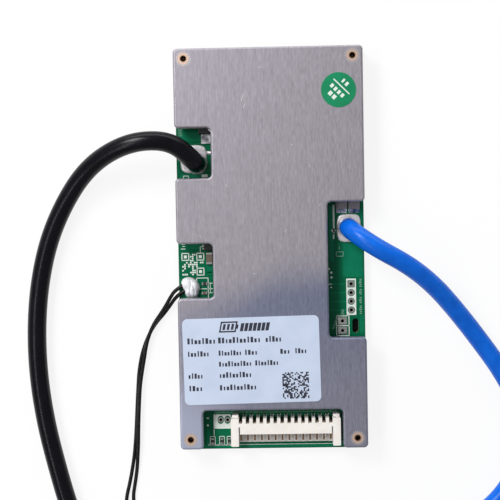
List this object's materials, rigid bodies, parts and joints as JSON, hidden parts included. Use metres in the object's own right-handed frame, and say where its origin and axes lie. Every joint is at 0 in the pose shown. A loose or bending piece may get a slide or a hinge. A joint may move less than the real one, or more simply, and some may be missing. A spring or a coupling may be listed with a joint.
{
  "type": "battery management board",
  "caption": "Battery management board under a notched aluminium heatsink plate, with a side-entry cell connector, two thick power leads and a thermistor on twin wires.",
  "frame": {"origin": "centre of the circuit board's outline, at the level of the screw heads it stands on; the free cords are left out", "axes": "+Z out of the heatsink plate's broad face, +Y along the board away from its cell connector, +X to the right seen from above"},
  "size_m": [0.1472, 0.1651, 0.0157],
  "materials": {
    "board": "green solder mask over glass fibre board",
    "plate": "brushed along its length, clear",
    "ivory_plastic": "moulded, slightly translucent",
    "tin": "bright solder and tin plate",
    "brass": "turned brass",
    "screw": "nickel plated",
    "black_rubber": "soft silicone, satin",
    "blue_rubber": "soft silicone, satin",
    "black_wire": "glossy insulation",
    "epoxy": "dipped epoxy",
    "glue": "white silicone, cured",
    "label": "pale coated film",
    "green_label": "printed film",
    "thermal_pad": "soft filled silicone",
    "package": "moulded epoxy",
    "shunt": "coated metal",
    "capacitor": "sintered ceramic"
  },
  "bodies": {
    "root": {"balance_resistors": "package", "balance_transistor_leads": "tin", "balance_transistors": "package", "bare_solder_pads": "tin", "black_lead": "black_rubber", "black_lead_solder": "tin", "black_lead_strands": "tin", "blue_lead": "blue_rubber", "blue_lead_solder": "tin", "blue_lead_strands": "tin", "board_screw_front_left": "screw", "board_screw_front_right": "screw", "board_screw_rear_left": "screw", "board_screw_rear_right": "screw", "cell_connector_contacts": "tin", "cell_connector_housing": "ivory_plastic", "cell_connector_joints": "tin", "charge_mosfet_1": "package", "charge_mosfet_2": "package", "charge_mosfet_3": "package", "charge_mosfet_4": "package", "chip_leads": "tin", "circuit_board": "board", "controller_chip": "package", "discharge_mosfet_1": "package", "discharge_mosfet_2": "package", "discharge_mosfet_3": "package", "discharge_mosfet_4": "package", "heatsink_plate": "plate", "inspection_label": "green_label", "monitor_chip": "package", "mosfet_leads": "tin", "mosfet_tabs": "tin", "rating_label": "label", "regulator_chip": "package", "shunt_joints": "tin", "shunt_resistor_left": "shunt", "shunt_resistor_right": "shunt", "small_capacitors": "capacitor", "small_part_ends": "tin", "small_resistors": "package", "thermal_pad_charge": "thermal_pad", "thermal_pad_discharge": "thermal_pad", "thermistor_glue": "glue", "thermistor_head": "epoxy", "thermistor_wire_a": "black_wire", "thermistor_wire_b": "black_wire", "threaded_post_front_left": "brass", "threaded_post_front_right": "brass", "threaded_post_rear_left": "brass", "threaded_post_rear_right": "brass"}
  },
  "joints": []
}
